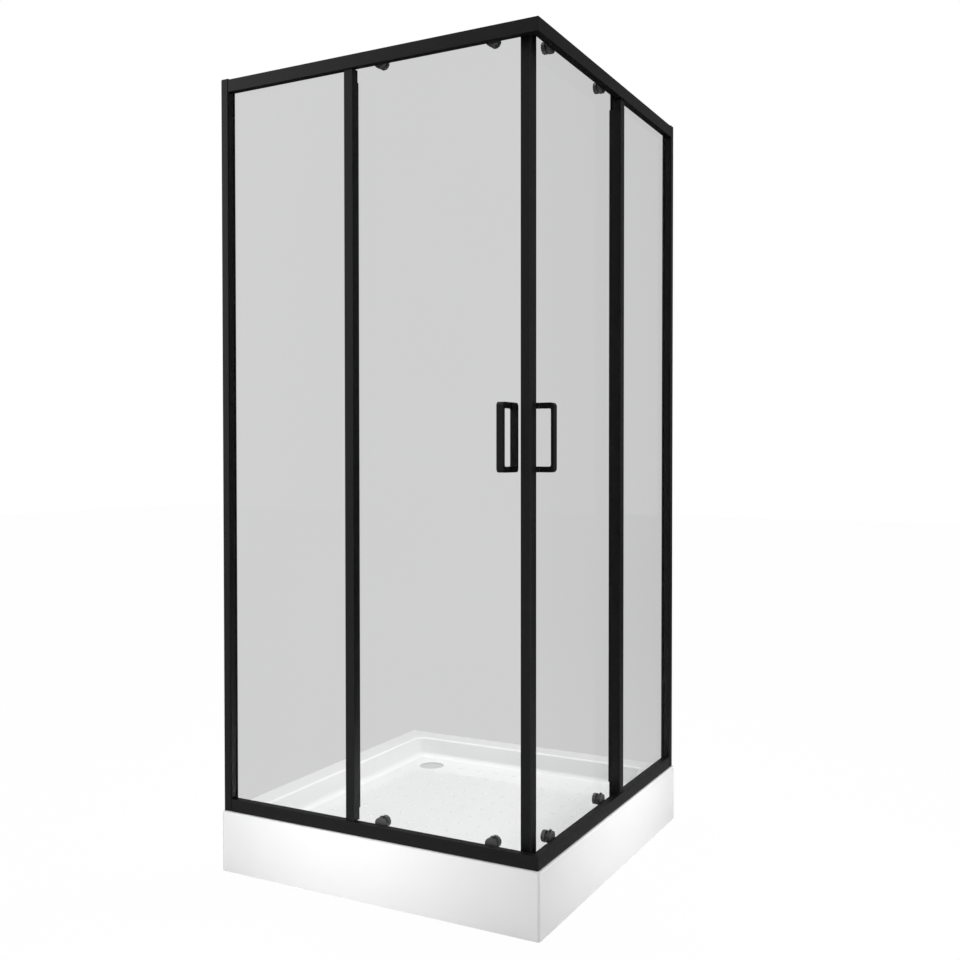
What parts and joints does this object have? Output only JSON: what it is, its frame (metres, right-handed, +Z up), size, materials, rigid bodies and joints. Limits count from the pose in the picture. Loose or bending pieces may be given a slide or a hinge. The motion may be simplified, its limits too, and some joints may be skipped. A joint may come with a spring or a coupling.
{
  "type": "shower cabin",
  "caption": "Square corner-entry shower cabin: two glazed faces with sliding doors on rollers, black framed, on a low white tray with skirts and raised studs.",
  "frame": {"origin": "centre of the tray's footprint on the floor", "axes": "+Z up; the entry corner is at +X and -Y, the room's walls are at -X and +Y"},
  "size_m": [0.9, 0.9, 2.0055],
  "materials": {
    "white_acrylic": "smooth white acrylic, soft gloss",
    "galvanised_steel": "bright zinc plating",
    "black_plastic": "fine matt moulded surface",
    "black_powder_coat": "fine satin powder coat",
    "die_cast": "as cast",
    "black_rubber": "soft matt",
    "clear_glass": "clear toughened glass with ground edges",
    "stainless_steel": "brushed",
    "grey_plastic": "dark grey moulded surface",
    "white_nylon": "turned nylon"
  },
  "bodies": {
    "cabin": {"tray": "white_acrylic", "support_frame": "galvanised_steel", "tray_feet": "black_plastic", "foot_locknuts": "galvanised_steel", "wall_profile_caps": "black_plastic", "corner_keys": "die_cast", "door_stops": "black_rubber", "frame_screws": "stainless_steel", "front_wall_profile": "black_powder_coat", "front_jamb": "black_powder_coat", "front_top_rail": "black_powder_coat", "front_bottom_rail": "black_powder_coat", "front_post": "black_powder_coat", "front_post_seal": "black_rubber", "front_fixed_pane": "clear_glass", "front_glazing_seal": "black_rubber", "side_wall_profile": "black_powder_coat", "side_jamb": "black_powder_coat", "side_top_rail": "black_powder_coat", "side_bottom_rail": "black_powder_coat", "side_post": "black_powder_coat", "side_post_seal": "black_rubber", "side_fixed_pane": "clear_glass", "side_glazing_seal": "black_rubber"},
    "front_door": {"front_door_pane": "clear_glass", "front_closing_profile": "black_powder_coat", "front_magnet_seal": "black_rubber", "front_trailing_seal": "black_rubber", "front_outer_handle": "black_powder_coat", "front_inner_handle": "black_powder_coat", "front_handle_studs": "stainless_steel", "front_top_rollers": "grey_plastic", "front_top_axles": "stainless_steel", "front_roller_caps": "grey_plastic", "front_bottom_housings": "grey_plastic", "front_release_springs": "stainless_steel"},
    "front_near_release": {"front_near_release": "grey_plastic"},
    "front_top_near_wheel": {"front_top_near_wheel": "white_nylon"},
    "front_bottom_near_wheel": {"front_bottom_near_wheel": "white_nylon"},
    "front_far_release": {"front_far_release": "grey_plastic"},
    "front_top_far_wheel": {"front_top_far_wheel": "white_nylon"},
    "front_bottom_far_wheel": {"front_bottom_far_wheel": "white_nylon"},
    "side_door": {"side_door_pane": "clear_glass", "side_closing_profile": "black_powder_coat", "side_magnet_seal": "black_rubber", "side_trailing_seal": "black_rubber", "side_outer_handle": "black_powder_coat", "side_inner_handle": "black_powder_coat", "side_handle_studs": "stainless_steel", "side_top_rollers": "grey_plastic", "side_top_axles": "stainless_steel", "side_roller_caps": "grey_plastic", "side_bottom_housings": "grey_plastic", "side_release_springs": "stainless_steel"},
    "side_near_release": {"side_near_release": "grey_plastic"},
    "side_top_near_wheel": {"side_top_near_wheel": "white_nylon"},
    "side_bottom_near_wheel": {"side_bottom_near_wheel": "white_nylon"},
    "side_far_release": {"side_far_release": "grey_plastic"},
    "side_top_far_wheel": {"side_top_far_wheel": "white_nylon"},
    "side_bottom_far_wheel": {"side_bottom_far_wheel": "white_nylon"}
  },
  "joints": [
    {"name": "front_door_slide", "type": "slide", "parent": "cabin", "child": "front_door", "axis": [-1, 0, 0], "range_m": [0, 0.33]},
    {"name": "front_near_release_push", "type": "slide", "parent": "front_door", "child": "front_near_release", "axis": [0, 0, -1], "range_m": [0, 0.0035], "stiffness_N_per_m": 600, "springref_m": -0.002, "deforming": ["front_release_springs"]},
    {"name": "front_top_near_wheel_spin", "type": "hinge", "parent": "front_door", "child": "front_top_near_wheel", "pos_m": [0.3119, -0.41895, 1.99], "axis": [0, 1, 0], "range_deg": [-3322, 0]},
    {"name": "front_bottom_near_wheel_spin", "type": "hinge", "parent": "front_near_release", "child": "front_bottom_near_wheel", "pos_m": [0.3119, -0.41895, 0.166], "axis": [0, 1, 0], "range_deg": [0, 3322]},
    {"name": "front_far_release_push", "type": "slide", "parent": "front_door", "child": "front_far_release", "axis": [0, 0, -1], "range_m": [0, 0.0035], "stiffness_N_per_m": 600, "springref_m": -0.002, "deforming": ["front_release_springs"]},
    {"name": "front_top_far_wheel_spin", "type": "hinge", "parent": "front_door", "child": "front_top_far_wheel", "pos_m": [0.0125, -0.41895, 1.99], "axis": [0, 1, 0], "range_deg": [-3322, 0]},
    {"name": "front_bottom_far_wheel_spin", "type": "hinge", "parent": "front_far_release", "child": "front_bottom_far_wheel", "pos_m": [0.0125, -0.41895, 0.166], "axis": [0, 1, 0], "range_deg": [0, 3322]},
    {"name": "side_door_slide", "type": "slide", "parent": "cabin", "child": "side_door", "axis": [0, 1, 0], "range_m": [0, 0.33]},
    {"name": "side_near_release_push", "type": "slide", "parent": "side_door", "child": "side_near_release", "axis": [0, 0, -1], "range_m": [0, 0.0035], "stiffness_N_per_m": 600, "springref_m": -0.002, "deforming": ["side_release_springs"]},
    {"name": "side_top_near_wheel_spin", "type": "hinge", "parent": "side_door", "child": "side_top_near_wheel", "pos_m": [0.41895, -0.3119, 1.99], "axis": [1, 0, 0], "range_deg": [-3322, 0]},
    {"name": "side_bottom_near_wheel_spin", "type": "hinge", "parent": "side_near_release", "child": "side_bottom_near_wheel", "pos_m": [0.41895, -0.3119, 0.166], "axis": [1, 0, 0], "range_deg": [0, 3322]},
    {"name": "side_far_release_push", "type": "slide", "parent": "side_door", "child": "side_far_release", "axis": [0, 0, -1], "range_m": [0, 0.0035], "stiffness_N_per_m": 600, "springref_m": -0.002, "deforming": ["side_release_springs"]},
    {"name": "side_top_far_wheel_spin", "type": "hinge", "parent": "side_door", "child": "side_top_far_wheel", "pos_m": [0.41895, -0.0125, 1.99], "axis": [1, 0, 0], "range_deg": [-3322, 0]},
    {"name": "side_bottom_far_wheel_spin", "type": "hinge", "parent": "side_far_release", "child": "side_bottom_far_wheel", "pos_m": [0.41895, -0.0125, 0.166], "axis": [1, 0, 0], "range_deg": [0, 3322]}
  ],
  "couplings": [
    {"joint": "front_top_near_wheel_spin", "follows": "front_door_slide", "rad_per_m": -175.44},
    {"joint": "front_bottom_near_wheel_spin", "follows": "front_door_slide", "rad_per_m": 175.44},
    {"joint": "front_top_far_wheel_spin", "follows": "front_door_slide", "rad_per_m": -175.44},
    {"joint": "front_bottom_far_wheel_spin", "follows": "front_door_slide", "rad_per_m": 175.44},
    {"joint": "side_top_near_wheel_spin", "follows": "side_door_slide", "rad_per_m": -175.44},
    {"joint": "side_bottom_near_wheel_spin", "follows": "side_door_slide", "rad_per_m": 175.44},
    {"joint": "side_top_far_wheel_spin", "follows": "side_door_slide", "rad_per_m": -175.44},
    {"joint": "side_bottom_far_wheel_spin", "follows": "side_door_slide", "rad_per_m": 175.44}
  ]
}
